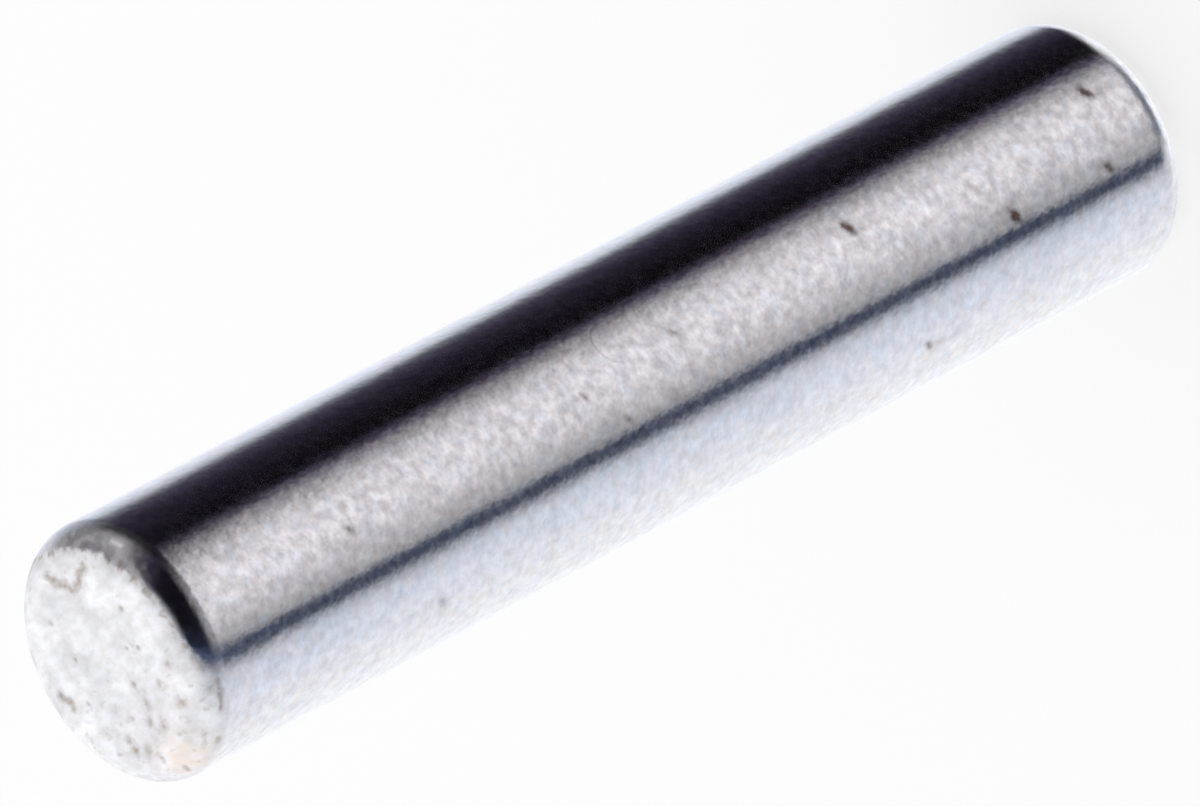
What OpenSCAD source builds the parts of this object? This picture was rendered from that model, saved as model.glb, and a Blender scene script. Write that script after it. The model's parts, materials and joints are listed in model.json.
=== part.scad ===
// Plain parallel dowel pin: one solid ground steel rod with flat ends and rounded end edges.
// Sizes are in millimetres. The pin stands on its lower end, with its axis along +Z.

/* [Pin] */
// Diameter of the ground shank
pin_d = 4; // [3:0.5:10]
// Length over both flat ends
pin_l = 20; // [8:1:60]

/* [Ends] */
// Radius of the rounded edge between each flat end and the shank
edge_r = 0.55; // [0.1:0.05:0.7]

/* [Hidden] */
$fn = 128;
// Radius of the shank
shank_r = pin_d / 2;
// Radius of the flat that is left inside the rounded edge
flat_r = shank_r - edge_r;

// Names of the pieces, and the one that is drawn

// Half of the lengthways section, from the axis out to the shank's wall.
// The two circles are tangent to the shank's wall and to the flat ends.
module half_section() {
    union() {
        square([flat_r, pin_l]);
        translate([0, edge_r])
            square([shank_r, pin_l - 2 * edge_r]);
        translate([flat_r, edge_r])
            circle(r = edge_r);
        translate([flat_r, pin_l - edge_r])
            circle(r = edge_r);
    }
}

// The pin: cut from ground bar, with its edges tumbled round.
module pin() {
    color("silver")
        rotate_extrude()
            half_section();
}

pin();
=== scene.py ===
import json
import math

import bpy
import numpy as np
from mathutils import Matrix, Vector


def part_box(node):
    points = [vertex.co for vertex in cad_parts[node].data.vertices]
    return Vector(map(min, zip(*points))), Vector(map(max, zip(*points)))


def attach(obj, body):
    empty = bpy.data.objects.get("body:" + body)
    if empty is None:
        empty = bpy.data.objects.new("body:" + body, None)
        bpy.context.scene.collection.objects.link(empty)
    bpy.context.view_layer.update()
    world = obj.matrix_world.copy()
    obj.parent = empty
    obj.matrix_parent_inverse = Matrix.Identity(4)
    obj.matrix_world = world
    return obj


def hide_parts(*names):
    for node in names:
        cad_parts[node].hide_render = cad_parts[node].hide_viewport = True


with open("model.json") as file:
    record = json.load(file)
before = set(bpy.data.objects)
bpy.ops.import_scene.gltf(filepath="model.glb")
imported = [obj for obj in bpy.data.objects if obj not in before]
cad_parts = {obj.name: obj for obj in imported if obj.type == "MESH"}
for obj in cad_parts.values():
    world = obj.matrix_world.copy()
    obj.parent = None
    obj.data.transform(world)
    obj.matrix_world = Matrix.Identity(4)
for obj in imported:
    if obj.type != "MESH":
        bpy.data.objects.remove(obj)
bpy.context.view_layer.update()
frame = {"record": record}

# The pin
# A parallel pin cut from hardened steel bar. The shank is ground round, the two end faces are left as they
# were cut, and tumbling has rolled the end edges over. It is one piece, so one closed surface makes it all.
MM = 0.001
shank = next(mount for mount in frame["record"]["mounts"] if mount["name"] == "shank")
pin_low, pin_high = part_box("pin")
pin_length = pin_high[2] - pin_low[2]
shank_radius = shank["dims"]["r_mm"] * MM
edge_radius = (pin_length - shank["dims"]["length_mm"] * MM) / 2
flat_radius = shank_radius - edge_radius

# The grid has columns round the pin and rows down its outline. On the upper face the rows crowd to the rim,
# and on the shank a few extra rows cross each pit, at these distances from its middle in radii.
columns = 420
face_rows = 46
face_crowding = 0.85
foot_rows = 22
upper_edge_rows = 34
lower_edge_rows = 12
shank_rows = 16
rows_across_pit = np.array([-1.2, -0.6, 0, 0.6, 1.2])

# Pits and grit on the ground shank: azimuth from the camera in degrees, height and radius in mm, and how
# dark each is, from 0 to 1. All are drawn out along one slant, and their depth is a share of their radius.
shank_pits = [
    (-16, 6.2, 0.10, 1.0),
    (12, 3.45, 0.11, 1.0),
    (13, 1.5, 0.09, 0.8),
    (-20, 1.2, 0.10, 1.0),
    (-2, 16.6, 0.09, 0.55),
    (-40, 9.2, 0.09, 0.7),
    (-12, 9.9, 0.09, 0.55),
    (-5, 11.85, 0.06, 0.45),
    (12, 11.3, 0.07, 0.45),
    (48, 5.45, 0.08, 0.6),
    (47, 15.3, 0.11, 0.35),
    (104, 4.3, 0.10, 0.6),
    (131, 13.9, 0.08, 0.7),
    (158, 8.0, 0.11, 0.8),
    (-139, 2.6, 0.09, 0.7),
    (-118, 10.6, 0.10, 0.8),
    (-95, 15.0, 0.08, 0.7),
]
pit_slant = math.radians(32)
pit_stretch = 1.35
pit_depth = 0.03

# Holes torn in the upper end face: x, y and radius in mm. Their depth is a share of their radius.
face_holes = [
    (-0.44, -1.32, 0.07),
    (-0.60, -0.92, 0.06),
    (-0.45, -0.37, 0.06),
    (-0.78, -0.42, 0.08),
    (-0.98, -1.16, 0.10),
    (-0.39, 0.85, 0.05),
    (-1.17, -0.51, 0.09),
    (-1.03, -0.26, 0.07),
    (-1.14, 0.38, 0.08),
    (-1.27, 0.36, 0.09),
    (-1.38, 0.08, 0.08),
    (-0.02, -0.86, 0.05),
    (0.05, -0.62, 0.04),
    (0.58, -0.94, 0.05),
    (0.24, 0.62, 0.05),
    (0.86, 0.74, 0.05),
]
hole_depth = 0.10
hole_dirt = 0.7

# A dent shaped like a V, and a short scratch: the ends of each straight stretch in mm.
face_scratches = [
    ((1.46, 0.29), (1.28, 0.06)),
    ((1.28, 0.06), (1.13, -0.10)),
    ((1.13, -0.10), (1.17, -0.30)),
    ((1.17, -0.30), (1.39, -0.61)),
    ((-0.12, 1.34), (-0.30, 1.22)),
]
scratch_radius = 0.08 * MM
scratch_depth = 0.008 * MM
scratch_dirt = 0.8

# A crack and two specks of dirt on the rounded edge: azimuth and slope of each stretch's ends in degrees.
edge_cracks = [
    ((28.7, 22.2), (35.3, 20.6)),
    ((35.3, 20.6), (42.0, 20.1)),
    ((58.6, 17.9), (60.4, 17.9)),
    ((81.5, 41), (83, 35)),
]
crack_radius = 0.042 * MM
crack_depth = 0.006 * MM
crack_dirt = 0.9

# The outlines of all these marks are ragged: random waves of this length shift them by this share.
ragged_share = 0.16
ragged_patch = 0.20 * MM


def smooth_step(low, high, value):
    """0 at low and 1 at high, with the cubic 3t^2 - 2t^3 between them. Low may be the larger of the two."""
    t = np.clip((value - low) / (high - low), 0, 1)
    return t * t * (3 - 2 * t)


def bell(distance, width):
    """e to the power of minus the square of distance / width."""
    return np.exp(-(distance / width) ** 2)


def random_waves(x, y, wavelength, seed, count=48):
    """Sum of plane waves in random directions and phases, scaled to a spread of 1.

    Each wave is from 0.75 to 1.5 times as long as the wavelength that is asked for.
    """
    rng = np.random.default_rng(seed)
    headings = rng.uniform(0, 2 * np.pi, count)
    numbers = 2 * np.pi / (wavelength * rng.uniform(0.75, 1.5, count))
    phases = rng.uniform(0, 2 * np.pi, count)
    field = np.zeros(np.broadcast(x, y).shape)
    for heading, number, phase in zip(headings, numbers, phases):
        field += np.cos(number * (x * np.cos(heading) + y * np.sin(heading)) + phase)
    return field * math.sqrt(2 / count)


def wave_sum(x, y, waves):
    """Sum of random waves of several sizes, each given by its height, its wavelength and a seed."""
    return sum(height * random_waves(x, y, wavelength, seed) for height, wavelength, seed in waves)


def shank_heights():
    """Heights of the shank's rows from top to bottom: even ones, and the extra ones across every pit.

    They are rounded to a thousandth of a millimetre, so that no two rows fall together.
    """
    even = np.linspace(pin_length - edge_radius, edge_radius, shank_rows)
    close = [(height + radius * rows_across_pit) * MM for azimuth, height, radius, darkness in shank_pits]
    every = np.unique(np.round(np.concatenate([even, *close]), 6))
    kept = every[(every >= edge_radius) & (every <= pin_length - edge_radius)]
    return kept[::-1]


def pin_outline():
    """Half of the lengthways section from the upper centre to the lower one, as radius, height and slope.

    Each end is a straight line out to the flat's edge and a quarter circle of the edge radius; the shank is
    straight between them. The slope is the angle of the outward normal above the level. The two middle
    points are left out, since each is one vertex on the axis.
    """
    face = flat_radius * (np.arange(1, face_rows + 1) / face_rows) ** face_crowding
    foot = flat_radius * np.arange(1, foot_rows + 1) / foot_rows
    upper_turn = np.linspace(np.pi / 2, 0, upper_edge_rows + 1)[1:-1]
    lower_turn = np.linspace(0, np.pi / 2, lower_edge_rows + 1)[1:-1]
    heights = shank_heights()
    radius = np.concatenate([
        face,
        flat_radius + edge_radius * np.cos(upper_turn),
        np.full(heights.size, shank_radius),
        flat_radius + edge_radius * np.cos(lower_turn),
        foot[::-1],
    ])
    height = np.concatenate([
        np.full(face.size, pin_length),
        pin_length - edge_radius + edge_radius * np.sin(upper_turn),
        heights,
        edge_radius - edge_radius * np.sin(lower_turn),
        np.zeros(foot.size),
    ])
    slope = np.concatenate([
        np.full(face.size, np.pi / 2),
        upper_turn,
        np.zeros(heights.size),
        -lower_turn,
        np.full(foot.size, -np.pi / 2),
    ])
    return radius, height, slope


def edge_point(azimuth, slope):
    """Point of the upper rounded edge, from angles in degrees: the arc's centre plus its radius."""
    around = math.radians(azimuth)
    turn = math.radians(slope)
    radius = flat_radius + edge_radius * math.cos(turn)
    height = pin_length - edge_radius + edge_radius * math.sin(turn)
    return -radius * math.sin(around), -radius * math.cos(around), height


def face_point(x, y):
    """Point of the upper flat, from its place on it in mm."""
    return x * MM, y * MM, pin_length


def line_distance(x, y, z, start, end):
    """Distance of every point from its nearest point on a straight stretch."""
    along = np.array(end) - np.array(start)
    offset = np.stack([x, y, z], -1) - np.array(start)
    share = np.clip(offset @ along / (along @ along), 0, 1)
    return np.linalg.norm(offset - share[..., None] * along, axis=-1)


def pin_marks(x, y, z, azimuth, upper):
    """Depth of all the marks, darkness of the shank's pits, and dirt in the marks of the upper end.

    Each mark is a bell-shaped dip about a point or along a straight stretch. A pit of the shank is longer
    along its slant, and narrower across it, by one factor. Where marks meet, the darker one counts.
    """
    depth = np.zeros_like(x)
    pit = np.zeros_like(x)
    dirt = np.zeros_like(x)
    wander = 1 + ragged_share * random_waves(x, y + z, ragged_patch, seed=7)
    for degrees, pit_height, pit_radius, darkness in shank_pits:
        round_way = (azimuth - math.radians(degrees) + np.pi) % (2 * np.pi) - np.pi
        aside = shank_radius * round_way
        above = z - pit_height * MM
        length = (aside * math.cos(pit_slant) - above * math.sin(pit_slant)) / pit_stretch
        width = (aside * math.sin(pit_slant) + above * math.cos(pit_slant)) * pit_stretch
        dip = bell(np.hypot(length, width) * np.sqrt(wander), pit_radius * MM)
        depth += pit_depth * pit_radius * MM * dip
        pit = np.maximum(pit, darkness * dip)
    for hole_x, hole_y, hole_radius in face_holes:
        away = np.hypot(x - hole_x * MM, y - hole_y * MM)
        dip = bell(away * wander, hole_radius * MM) * upper
        depth += hole_depth * hole_radius * MM * dip
        dirt = np.maximum(dirt, hole_dirt * dip)
    for start, end in face_scratches:
        away = line_distance(x, y, z, face_point(*start), face_point(*end))
        dip = bell(away * wander, scratch_radius) * upper
        depth += scratch_depth * dip
        dirt = np.maximum(dirt, scratch_dirt * dip)
    for start, end in edge_cracks:
        away = line_distance(x, y, z, edge_point(*start), edge_point(*end))
        dip = bell(away * wander, crack_radius)
        depth += crack_depth * dip
        dirt = np.maximum(dirt, crack_dirt * dip)
    return depth, pit, dirt


# The torn skin of an end face is sunk a little, with waves that are drawn out along Y. It spills over the
# rounded edge as far as a ragged rim, and further at the lower right and the left of the camera's view. Each
# wave has a height, a wavelength and a seed. Each pair of angles gives the azimuths, in radians, where an
# effect is nil and where it is full. Rows steeper than flat_slope, in radians, belong to the flat.
skin_depth = 0.003 * MM
skin_stretch = 0.6
skin_waves = [(0.0022 * MM, 0.40 * MM, 11), (0.0006 * MM, 0.15 * MM, 12)]
rim_waves = [(0.022 * MM, 0.26 * MM, 3), (0.008 * MM, 0.11 * MM, 4)]
spill = 0.27 * MM
extra_spill = 0.40 * MM
rim_fade = 0.07 * MM
extra_fade = 0.18 * MM
fade_inside = 0.8
lower_right_rise = (-0.05, 0.85)
lower_right_fall = (3.6, 2.6)
left_rise = (-1.5, -2.3)
flat_slope = 1.5


def lower_right(azimuth):
    """1 along the lower right of the rim as the camera sees it and 0 elsewhere, with soft ends."""
    return smooth_step(*lower_right_rise, azimuth) * smooth_step(*lower_right_fall, azimuth)


def inside_rim(x, y, azimuth, radius, slope):
    """How far each point lies inside the rim of the torn skin, along the surface.

    A point's way from the axis is its radius on the flat, and the flat's radius plus the arc on the rounded
    edge. The rim's way is the flat's radius plus the spill at that azimuth, plus random waves.
    """
    turn = np.abs(slope)
    way = np.where(turn > flat_slope, radius, flat_radius + edge_radius * (np.pi / 2 - turn))
    further = np.maximum(lower_right(azimuth), smooth_step(*left_rise, azimuth))
    return flat_radius + spill + extra_spill * further + wave_sum(x, y, rim_waves) - way


def torn_skin(azimuth, inside):
    """1 on the torn skin and 0 off it, with a soft rim that is wider at the lower right.

    The step starts one fade outside the rim and ends a share of the fade inside it.
    """
    fade = rim_fade + extra_fade * lower_right(azimuth)
    return smooth_step(-fade, fade_inside * fade, inside)


# The rounded edge is rubbed in patches just outside the rim, and has a painted highlight at one spot: a
# streak of white torn skin whose ends are given by azimuth and slope in degrees.
rub_rise = (-1.6, -1.2)
rub_fall = (-0.35, -0.75)
rub_reach = (-0.45 * MM, -0.15 * MM)
rub_patch = 0.19 * MM
rub_range = (-0.5, 1.5)
rub_strength = 0.28
painted_highlight_spot = ((-51, 35), (-46, 35))
painted_highlight_radius = 0.05 * MM


def rubbed_edge_and_painted_highlight(x, y, z, azimuth, inside):
    """Patches of random waves in a band outside the rim, and a bell about the painted highlight spot."""
    stretch = smooth_step(*rub_rise, azimuth) * smooth_step(*rub_fall, azimuth)
    band = stretch * smooth_step(*rub_reach, inside)
    patches = smooth_step(*rub_range, random_waves(x, y + z, rub_patch, seed=13))
    start, end = painted_highlight_spot
    away = line_distance(x, y, z, edge_point(*start), edge_point(*end))
    return np.maximum(rub_strength * band * patches, bell(away, painted_highlight_radius))


# Dirt sits along the rim in patches, with a brown stain at the -X side of the upper face, and a film on the
# shank where it faces the camera. The film's middle and width are azimuths in radians. Above a slope, also
# in radians, soil grows between two places along X instead.
rim_dirt_width = 0.05 * MM
rim_dirt_patch = 0.22 * MM
rim_dirt_range = (-0.4, 0.8)
rim_dirt_strength = 0.75
stain_middle = (-1.78 * MM, -0.48 * MM)
stain_radius = 0.45 * MM
stain_patch = 0.25 * MM
stain_strength = 0.85
stain_unevenness = 0.25
film_middle = -0.14
film_width = 0.5
face_soil_rise = (0.8 * MM, -1.3 * MM)
face_soil_slope = 0.5


def rim_dirt(x, y, azimuth, inside):
    """A bell across the rim, broken into patches by random waves, and none at the lower right."""
    patches = smooth_step(*rim_dirt_range, random_waves(x, y, rim_dirt_patch, seed=5))
    return rim_dirt_strength * bell(inside, rim_dirt_width) * patches * (1 - lower_right(azimuth))


def rust_stain(x, y):
    """A bell about the stain's middle, made uneven by random waves."""
    away = np.hypot(x - stain_middle[0], y - stain_middle[1])
    uneven = stain_strength + stain_unevenness * random_waves(x, y, stain_patch, seed=6)
    return np.clip(bell(away, stain_radius) * uneven, 0, 1)


def soil_film(x, azimuth, slope):
    """A bell of azimuth on the shank, and a rise towards -X on the upper face and most of its edge."""
    return np.where(
        slope > face_soil_slope,
        smooth_step(*face_soil_rise, x),
        bell(azimuth - film_middle, film_width),
    )


def pin_surface():
    """The outline turned about the axis, with each point moved along its normal by the marks of its finish.

    Azimuth 0 faces the camera, along -Y, and grows towards -X. The torn skin moves a point by its waves less
    its depth, and every mark by its own depth. The masks carry the marks over to the material; the two
    numbers beside each mask are its values at the upper and the lower centre.
    """
    radius, height, slope = [part[:, None] for part in pin_outline()]
    azimuth = (np.arange(columns) * (2 * np.pi / columns) + np.pi) % (2 * np.pi) - np.pi
    outward_x = -np.sin(azimuth)
    outward_y = -np.cos(azimuth)
    x = radius * outward_x
    y = radius * outward_y
    z = np.repeat(height, columns, 1)
    upper = slope > 0

    inside = inside_rim(x, y, azimuth, radius, slope)
    # This mask holds the torn skin, the rubbed patches and the painted highlight spot on the rounded edge.
    torn_and_highlight = np.maximum(torn_skin(azimuth, inside), rubbed_edge_and_painted_highlight(x, y, z, azimuth, inside) * upper)
    depth, pit, dirt = pin_marks(x, y, z, azimuth, upper)
    smear = np.maximum(rim_dirt(x, y, azimuth, inside) * upper, dirt)
    stain = rust_stain(x, y) * upper
    soil = soil_film(x, azimuth, slope)

    lift = torn_and_highlight * (wave_sum(x, skin_stretch * y, skin_waves) - skin_depth) - depth
    x += lift * np.cos(slope) * outward_x
    y += lift * np.cos(slope) * outward_y
    z = np.clip(z + lift * np.sin(slope), 0, pin_length)
    grid = np.stack([x, y, z], -1).reshape(-1, 3)
    centres = np.array([[0, 0, z[0].mean()], [0, 0, z[-1].mean()]])
    masks = {
        "rough_face_and_highlight": (torn_and_highlight, 1, 1),
        "pit": (pit, 0, 0),
        "stain": (stain, 0, 0),
        "smear": (smear, 0, 0),
        "soil": (soil, soil[0].mean(), 0),
    }
    return np.concatenate([grid, centres]), masks, radius.size


def turned_faces(rows):
    """Quads between neighbouring rows, closed round the seam, and a fan of triangles at each centre."""
    row, column = np.meshgrid(np.arange(rows - 1), np.arange(columns), indexing="ij")
    beside = (column + 1) % columns
    quads = np.stack([
        row * columns + column,
        (row + 1) * columns + column,
        (row + 1) * columns + beside,
        row * columns + beside,
    ], -1).reshape(-1, 4)
    around = np.arange(columns)
    ahead = (around + 1) % columns
    top = np.stack([np.full(columns, rows * columns), around, ahead], -1)
    last = (rows - 1) * columns
    bottom = np.stack([np.full(columns, rows * columns + 1), last + ahead, last + around], -1)
    return quads.tolist() + top.tolist() + bottom.tolist()


points, masks, rows = pin_surface()
pin_mesh = bpy.data.meshes.new("dowel_pin")
pin_mesh.from_pydata(points.tolist(), [], turned_faces(rows))
pin_mesh.polygons.foreach_set("use_smooth", np.ones(len(pin_mesh.polygons), dtype=bool))
for name, (values, at_top, at_bottom) in masks.items():
    layer = pin_mesh.attributes.new(name, "FLOAT", "POINT")
    layer.data.foreach_set("value", np.append(values, [at_top, at_bottom]).astype(np.float32))
pin_mesh.update()
dowel_pin = bpy.data.objects.new("dowel_pin", pin_mesh)
bpy.context.scene.collection.objects.link(dowel_pin)

# The pin's finish
# Bare hardened steel. The shank has the fine uneven grain of centreless grinding under a thin film. The end
# faces are torn and matt, with grey grain, rust-brown stains and dark dirt in the holes. A spot of white
# torn skin on the rounded edge is a painted highlight.
grooved_colour = (0.65, 0.64, 0.645, 1)
polished_colour = (0.84, 0.83, 0.84, 1)
warm_film = (1.025, 1.0, 0.98, 1)
cool_film = (0.975, 1.0, 1.025, 1)
blotch_dark = (0.82, 0.81, 0.82, 1)
blotch_pale = (1.18, 1.18, 1.18, 1)
torn_grey = (0.81, 0.795, 0.785, 1)
torn_white = (0.955, 0.955, 0.98, 1)
cloud_grey = (0.87, 0.87, 0.88, 1)
cloud_white = (1.08, 1.08, 1.08, 1)
soil_colour = (0.52, 0.47, 0.42, 1)
smear_colour = (0.34, 0.26, 0.20, 1)
stain_colour = (0.95, 0.79, 0.68, 1)
grit_colour = (0.12, 0.08, 0.066, 1)

# Noise lies about 0.5. Each range says where between its two colours or strengths a pattern starts and ends.
ground_range = (0.34, 0.66)
film_range = (0.35, 0.65)
blotch_range = (0.32, 0.68)
speckle_range = (0.30, 0.66)
cloud_range = (0.3, 0.7)
soil_range = (0.58, 0.78)
smear_range = (0.3, 0.7)
pit_range = (0.25, 0.75)
matt_range = (0.3, 0.7)

# How strongly each mark covers the steel, and what it does to the gloss.
stain_cover = 0.65
soil_cover = 0.6
soil_drop = -0.10
smear_cover = (0.55, 1)
pit_crumbs = (0.7, 1.2)
pit_full = 0.72
pit_cover = 0.94
ground_roughness = (0.13, 0.18)
torn_roughness = 0.42
pit_roughness = 0.08
torn_metallic = 0.5
ripple_depth = 0.0045 * MM
ripple_share = (0.3, 0.95)

# A hair-fine scratch on the shank, bent like a bow: the upper part of a circle about a point of the surface.
hair_azimuth = math.radians(-20)
hair_middle = (-shank_radius * math.sin(hair_azimuth), -shank_radius * math.cos(hair_azimuth), 10.80 * MM)
hair_radius = 0.37 * MM
hair_foot = 10.90 * MM
hair_fade = 0.08 * MM
hair_width = (0.004 * MM, 0.026 * MM)
hair_cover = 0.3

# The node functions below add to the tree that nodes and links name: here the steel's, later the tent's.
steel = bpy.data.materials.new("ground_steel")
steel.use_nodes = True
nodes = steel.node_tree.nodes
links = steel.node_tree.links
shader = nodes["Principled BSDF"]
place = nodes.new("ShaderNodeTexCoord")


def mark(name):
    """Node that reads one of the pin's own attributes."""
    node = nodes.new("ShaderNodeAttribute")
    node.attribute_name = name
    return node.outputs["Fac"]


def grain(x_scale, y_scale, z_scale, detail):
    """Noise whose grains are 1/scale metres long in each direction."""
    stretch = nodes.new("ShaderNodeMapping")
    stretch.inputs["Scale"].default_value = (x_scale, y_scale, z_scale)
    noise = nodes.new("ShaderNodeTexNoise")
    noise.inputs["Scale"].default_value = 1
    noise.inputs["Detail"].default_value = detail
    links.new(place.outputs["Object"], stretch.inputs["Vector"])
    links.new(stretch.outputs["Vector"], noise.inputs["Vector"])
    return noise.outputs["Fac"]


def spread(value, low, high, to_low=0, to_high=1):
    """Carries the range low to high over to to_low to to_high, clamped."""
    node = nodes.new("ShaderNodeMapRange")
    node.inputs["From Min"].default_value = low
    node.inputs["From Max"].default_value = high
    node.inputs["To Min"].default_value = to_low
    node.inputs["To Max"].default_value = to_high
    links.new(value, node.inputs["Value"])
    return node.outputs["Result"]


def far_from(point):
    """Straight distance from a point."""
    node = nodes.new("ShaderNodeVectorMath")
    node.operation = "DISTANCE"
    node.inputs[1].default_value = point
    links.new(place.outputs["Object"], node.inputs[0])
    return node.outputs["Value"]


def put(socket, value):
    """Links an output to a socket, or sets the socket to a plain value."""
    if isinstance(value, bpy.types.NodeSocket):
        links.new(value, socket)
    else:
        socket.default_value = value


def mixed(share, first, second, blend="MIX"):
    """Colour that goes from first to second by share, or from first to the blend of both."""
    node = nodes.new("ShaderNodeMix")
    node.data_type = "RGBA"
    node.blend_type = blend
    put(node.inputs["Factor"], share)
    put(node.inputs[6], first)
    put(node.inputs[7], second)
    return node.outputs[2]


def combined(operation, first, second=0):
    """Result of one sum on two values, or on the first alone where the operation takes only one."""
    node = nodes.new("ShaderNodeMath")
    node.operation = operation
    put(node.inputs[0], first)
    put(node.inputs[1], second)
    return node.outputs[0]


# The first mask holds the torn skin, the rubbed patches and the painted highlight spot on the rounded edge.
torn_and_highlight = mark("rough_face_and_highlight")
pitted = mark("pit")
stained = mark("stain")
smeared = mark("smear")
soiled = mark("soil")
grinding = grain(7000, 7000, 9000, 2)
mottle = grain(4800, 4800, 4800, 2)
ripple = grain(7500, 7500, 7500, 1)
blotch = grain(6200, 6200, 6500, 2)
film = grain(4200, 4200, 5200, 1)
speckle = grain(6500, 4000, 6500, 2)
cloud = grain(1900, 1300, 1900, 1)
dirt = grain(7500, 4500, 7500, 1)
crumbs = grain(14000, 10000, 14000, 1)

# The ground shank: two sizes of grain, warm and cool tints by turns, and blotches where the film is.
ground = combined("MULTIPLY", combined("ADD", grinding, mottle), 0.5)
shank_tone = mixed(spread(ground, *ground_range), grooved_colour, polished_colour)
film_tint = mixed(spread(film, *film_range), warm_film, cool_film)
shank_tone = mixed(1.0, shank_tone, film_tint, "MULTIPLY")
blotches = mixed(spread(blotch, *blotch_range), blotch_dark, blotch_pale)
shank_tone = mixed(soiled, shank_tone, mixed(1.0, shank_tone, blotches, "MULTIPLY"))

# The torn faces: speckles under larger clouds, the brown stain, and specks of soil.
torn_tone = mixed(spread(speckle, *speckle_range), torn_grey, torn_white)
clouds = mixed(spread(cloud, *cloud_range), cloud_grey, cloud_white)
torn_tone = mixed(1.0, torn_tone, clouds, "MULTIPLY")
torn_tone = mixed(combined("MULTIPLY", stained, stain_cover), torn_tone, stain_colour)
dirty = combined("ADD", dirt, spread(soiled, 0, 1, soil_drop, 0))
torn_tone = mixed(spread(dirty, *soil_range, 0, soil_cover), torn_tone, soil_colour)

# Both together, and over them the smears, the hair-fine scratch and the pits.
# The torn tone, white on the painted highlight spot, paints a glint on the rounded edge.
tone = mixed(torn_and_highlight, shank_tone, torn_tone)
tone = mixed(combined("MULTIPLY", smeared, spread(crumbs, *smear_range, *smear_cover)), tone, smear_colour)
up_the_pin = nodes.new("ShaderNodeSeparateXYZ")
links.new(place.outputs["Object"], up_the_pin.inputs["Vector"])
from_bow = combined("ABSOLUTE", combined("SUBTRACT", far_from(hair_middle), hair_radius))
hair_end = spread(up_the_pin.outputs["Z"], hair_foot, hair_foot + hair_fade)
hair_line = combined("MULTIPLY", spread(from_bow, *hair_width, hair_cover, 0), hair_end)
tone = mixed(hair_line, tone, smear_colour)
ragged_pit = combined("MULTIPLY", pitted, spread(crumbs, *pit_range, *pit_crumbs))
tone = mixed(spread(ragged_pit, 0, pit_full, 0, pit_cover), tone, grit_colour)
links.new(tone, shader.inputs["Base Color"])

matt = spread(grinding, *matt_range, *ground_roughness)
matt = combined("ADD", matt, combined("MULTIPLY", torn_and_highlight, torn_roughness))
matt = combined("ADD", matt, combined("MULTIPLY", pitted, pit_roughness))
links.new(matt, shader.inputs["Roughness"])
links.new(spread(torn_and_highlight, 0, 1, 1, torn_metallic), shader.inputs["Metallic"])

# The ripple of the grinding is deepest under the film.
rippled = nodes.new("ShaderNodeBump")
rippled.inputs["Strength"].default_value = 1
rippled.inputs["Distance"].default_value = ripple_depth
links.new(combined("MULTIPLY", ripple, spread(soiled, 0, 1, *ripple_share)), rippled.inputs["Height"])
links.new(rippled.outputs["Normal"], shader.inputs["Normal"])

pin_mesh.materials.append(steel)
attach(dowel_pin, "root")
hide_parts("pin")

# The floor
# A plain pale light table that the pin stands on: a frosted white sheet that glows a little from below. It
# isn't part of the pin, and the steel doesn't mirror it.
floor_half = 3.0
floor_tone = 0.35
floor_glow = 0.63
corners = np.array([[-1, -1, 0], [1, -1, 0], [1, 1, 0], [-1, 1, 0]]) * floor_half
floor_mesh = bpy.data.meshes.new("floor")
floor_mesh.from_pydata(corners.tolist(), [], [[0, 1, 2, 3]])
floor = bpy.data.objects.new("floor", floor_mesh)
bpy.context.scene.collection.objects.link(floor)
floor_paint = bpy.data.materials.new("pale_floor")
floor_paint.use_nodes = True
floor_shader = floor_paint.node_tree.nodes["Principled BSDF"]
floor_shader.inputs["Base Color"].default_value = (floor_tone, floor_tone, floor_tone, 1)
floor_shader.inputs["Roughness"].default_value = 1
floor_shader.inputs["Specular IOR Level"].default_value = 0
floor_shader.inputs["Emission Color"].default_value = (1, 1, 1, 1)
floor_shader.inputs["Emission Strength"].default_value = floor_glow
floor_mesh.materials.append(floor_paint)
floor.visible_glossy = False

# The studio
# A light tent round the pin. Its walls are strips of white and grey paper with black flags between them, and
# the camera looks in through a dark opening. The steel mirrors this tent, and the floor sees a soft dome.
dome_light = 1.02
cool = (0.97, 0.985, 1.03)
blue = (0.91, 0.965, 1.09)
warm = (1.0, 0.985, 1.03)
violet = (1.03, 0.84, 1.50)
navy = (0.68, 0.90, 1.75)

# Walls low down in the tent: azimuth from the camera in degrees, brightness and tint.
low_walls = [
    (-180, 1.14, cool),
    (-148, 1.0, blue),
    (-137, 0.79, blue),
    (-128, 0.12, blue),
    (-120, 0.054, violet),
    (-104, 0.015, violet),
    (-84, 0.001, violet),
    (-71, 0.001, violet),
    (-64, 0.075, violet),
    (-54, 0.45, warm),
    (-42, 0.83, warm),
    (-26, 0.90, warm),
    (-4, 0.80, warm),
    (14, 0.60, warm),
    (31, 0.44, cool),
    (35, 0.06, navy),
    (43, 0.045, navy),
    (50, 0.56, blue),
    (57, 0.81, blue),
    (74, 0.95, blue),
    (110, 1.07, cool),
    (150, 1.15, cool),
    (180, 1.14, cool),
]

# Walls a little higher, where the lit strip is brightest and the black flag beside it widens.
shoulder_walls = [
    (-180, 1.16, cool),
    (-150, 0.90, blue),
    (-135, 0.43, blue),
    (-120, 0.06, violet),
    (-104, 0.03, violet),
    (-88, 0.02, violet),
    (-70, 0.006, violet),
    (-60, 0.012, violet),
    (-44, 0.31, warm),
    (-30, 0.94, warm),
    (-15, 1.18, warm),
    (0, 1.08, warm),
    (14, 0.80, warm),
    (29, 0.42, cool),
    (35, 0.07, navy),
    (43, 0.06, navy),
    (50, 0.50, blue),
    (57, 0.80, blue),
    (74, 0.95, blue),
    (110, 1.06, cool),
    (180, 1.16, cool),
]

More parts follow.
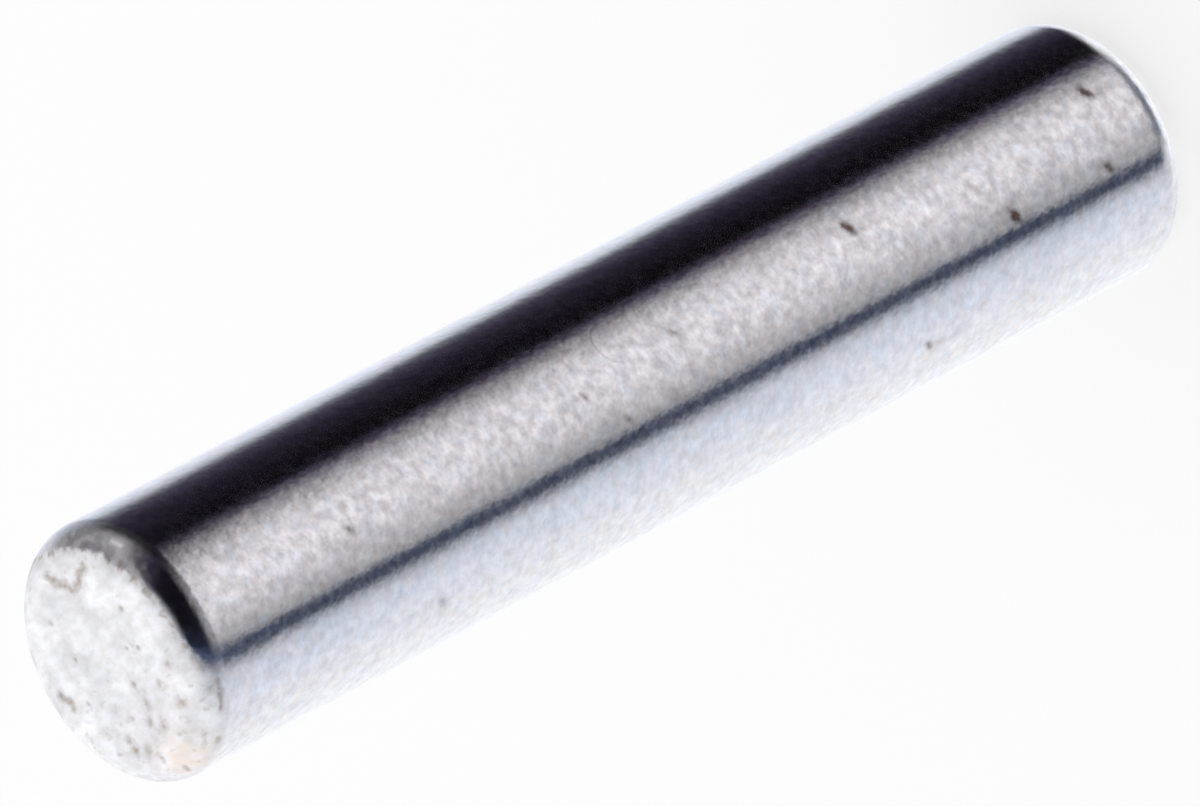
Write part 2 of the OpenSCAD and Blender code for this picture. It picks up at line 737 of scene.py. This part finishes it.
# Walls just under the camera's opening.
middle_walls = [
    (-180, 1.18, cool),
    (-150, 0.80, blue),
    (-130, 0.42, blue),
    (-106, 0.06, cool),
    (-82, 0.035, cool),
    (-55, 0.012, violet),
    (-40, 0.06, warm),
    (-28, 0.19, warm),
    (0, 0.44, warm),
    (27, 0.28, cool),
    (36, 0.12, navy),
    (46, 0.50, blue),
    (56, 0.82, blue),
    (100, 0.88, cool),
    (140, 1.05, cool),
    (180, 1.15, cool),
]

# Walls at the height of the camera's opening.
high_walls = [
    (-180, 1.30, cool),
    (-152, 1.10, cool),
    (-140, 0.32, warm),
    (-126, 0.24, warm),
    (-104, 0.32, warm),
    (-84, 0.42, warm),
    (-70, 0.13, warm),
    (-55, 0.04, violet),
    (-40, 0.008, violet),
    (0, 0.005, violet),
    (22, 0.02, navy),
    (34, 0.09, navy),
    (46, 0.45, blue),
    (60, 0.72, blue),
    (110, 0.90, cool),
    (145, 1.08, cool),
    (180, 1.30, cool),
]

# Walls at the foot of the tent, down to the table.
foot_walls = [
    (-180, 1.20, cool),
    (-150, 1.20, cool),
    (-120, 1.12, cool),
    (-90, 0.80, cool),
    (-60, 0.28, blue),
    (0, 0.25, blue),
    (30, 0.36, blue),
    (60, 0.78, cool),
    (90, 0.92, cool),
    (120, 1.10, cool),
    (180, 1.20, cool),
]
roof = (0.98, 0.99, 1.02, 1)
table_top = (0.92, 1.03, 1.22, 1)

# Between which elevations, in degrees, each ring of walls takes over from the one below it.
shoulder_climb = (-41, -27)
middle_climb = (-35, -17)
high_climb = (-15, 9)
roof_climb = (55, 95)
foot_to_low_climb = (-60, -42)
table_to_foot_climb = (-96, -72)

world = bpy.data.worlds.new("studio")
bpy.context.scene.world = world
world.use_nodes = True
world.cycles.sampling_method = "NONE"
nodes = world.node_tree.nodes
links = world.node_tree.links
sky = nodes["Background"]

# Where a ray goes: its azimuth as a share of a turn, from 0 to 1 with 0.5 at the camera, and its elevation.
heading = nodes.new("ShaderNodeSeparateXYZ")
links.new(nodes.new("ShaderNodeTexCoord").outputs["Generated"], heading.inputs["Vector"])
to_left = combined("MULTIPLY", heading.outputs["X"], -1)
to_camera = combined("MULTIPLY", heading.outputs["Y"], -1)
bearing = combined("ADD", combined("DIVIDE", combined("ARCTAN2", to_left, to_camera), 2 * math.pi), 0.5)
rise = combined("ARCSINE", heading.outputs["Z"])


def walls(strips):
    """Colour ramp once round the tent from behind the pin, with one stop for each edge of a strip."""
    ramp = nodes.new("ShaderNodeValToRGB")
    stops = ramp.color_ramp.elements
    while len(stops) < len(strips):
        stops.new(0.5)
    for stop, (azimuth, brightness, tint) in zip(stops, strips):
        stop.position = azimuth / 360 + 0.5
        stop.color = (*(brightness * part for part in tint), 1)
    links.new(bearing, ramp.inputs["Fac"])
    return ramp.outputs["Color"]


def climb(low, high):
    """0 below the first elevation and 1 above the second, in degrees, with a smooth rise between them."""
    node = nodes.new("ShaderNodeMapRange")
    node.interpolation_type = "SMOOTHSTEP"
    node.inputs["From Min"].default_value = math.radians(low)
    node.inputs["From Max"].default_value = math.radians(high)
    links.new(rise, node.inputs["Value"])
    return node.outputs["Result"]


tent = mixed(climb(*shoulder_climb), walls(low_walls), walls(shoulder_walls))
tent = mixed(climb(*middle_climb), tent, walls(middle_walls))
tent = mixed(climb(*high_climb), tent, walls(high_walls))
tent = mixed(climb(*roof_climb), tent, roof)
tent = mixed(climb(*foot_to_low_climb), walls(foot_walls), tent)
tent = mixed(climb(*table_to_foot_climb), table_top, tent)
path = nodes.new("ShaderNodeLightPath")
horizon = floor_glow + dome_light * floor_tone
dome = mixed(path.outputs["Is Camera Ray"], (dome_light,) * 3 + (1,), (horizon,) * 3 + (1,))
links.new(mixed(path.outputs["Is Glossy Ray"], dome, tent), sky.inputs["Color"])

# The camera
# A long lens, rolled as it is for a pin that lies aslant in the picture: the upper end points down to the
# left and towards the camera. The pixel sizes are those of a picture of 1200 by 806.
picture_width = 1200
picture_height = 806
pin_middle_px = (608.1, 397.9)
diameter_px = 278.7
lens_mm = 800
sensor_mm = 36
elevation = math.radians(36.6)
lean = math.radians(27.84)
camera = bpy.data.objects.new("camera", bpy.data.cameras.new("camera"))
camera.data.lens = lens_mm
camera.data.sensor_width = sensor_mm
camera.data.clip_start = 0.01
camera.data.clip_end = 10
back = Vector((0, -math.cos(elevation), math.sin(elevation)))
level_right = Vector((1, 0, 0))
level_up = back.cross(level_right)
right = -math.sin(lean) * level_right - math.cos(lean) * level_up
up = math.cos(lean) * level_right - math.sin(lean) * level_up
metres_per_px = 2 * shank_radius / diameter_px
distance = metres_per_px * lens_mm / sensor_mm * picture_width
middle = Vector((0, 0, pin_length / 2))
aim = middle - right * (pin_middle_px[0] - picture_width / 2) * metres_per_px
aim -= up * (picture_height / 2 - pin_middle_px[1]) * metres_per_px
turn = Matrix((right, up, back)).transposed()
camera.matrix_world = Matrix.Translation(aim + back * distance) @ turn.to_4x4()
bpy.context.scene.collection.objects.link(camera)
bpy.context.scene.camera = camera
bpy.context.scene.view_settings.view_transform = "Standard"
